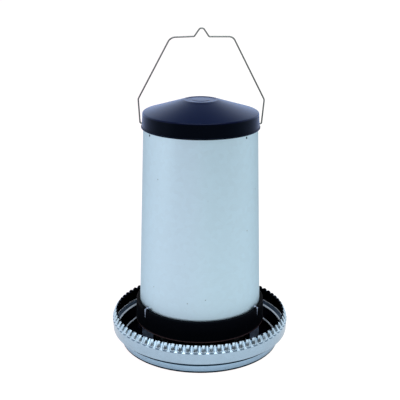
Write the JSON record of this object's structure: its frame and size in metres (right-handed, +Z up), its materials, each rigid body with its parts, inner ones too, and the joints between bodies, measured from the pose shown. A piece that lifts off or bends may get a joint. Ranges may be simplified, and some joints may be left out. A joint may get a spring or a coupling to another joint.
{
  "type": "galvanized hopper feeder",
  "caption": "Hanging or standing poultry feeder: tapered galvanized hopper on a round pan with a crimped rim, loose lid, flow collar and wire bail.",
  "frame": {"origin": "middle of the circle that the pan stands on", "axes": "+Z up along the hopper's axis, -Y is the front of the picture, the bail hangs across X"},
  "size_m": [0.3506, 0.3506, 0.6194],
  "materials": {
    "galvanized_tube": "bright galvanized sheet, fine spangle",
    "galvanized_pan": "galvanized sheet, spun and crimped",
    "galvanized_strap": "galvanized strap, dull",
    "wire": "zinc-plated wire",
    "rivet": "plain",
    "black_plastic": "satin, moulded"
  },
  "bodies": {
    "feeder": {"hopper_tube": "galvanized_tube", "feed_pan": "galvanized_pan", "rim_ring": "galvanized_pan", "flow_collar": "black_plastic", "spreader_cone": "black_plastic", "leg_front_left": "galvanized_strap", "leg_front_right": "galvanized_strap", "leg_rear": "galvanized_strap", "tube_rivets": "rivet", "foot_rivets": "rivet", "cone_screw": "rivet"},
    "lid": {"lid": "black_plastic"},
    "bail": {"bail": "wire"}
  },
  "joints": [
    {"name": "lid_lift", "type": "slide", "parent": "feeder", "child": "lid", "axis": [0, 0, 1], "range_m": [0, 0.03]},
    {"name": "bail_swing", "type": "hinge", "parent": "feeder", "child": "bail", "pos_m": [0, 0, 0.441], "axis": [1, 0, 0], "range_deg": [-110, 110]}
  ]
}
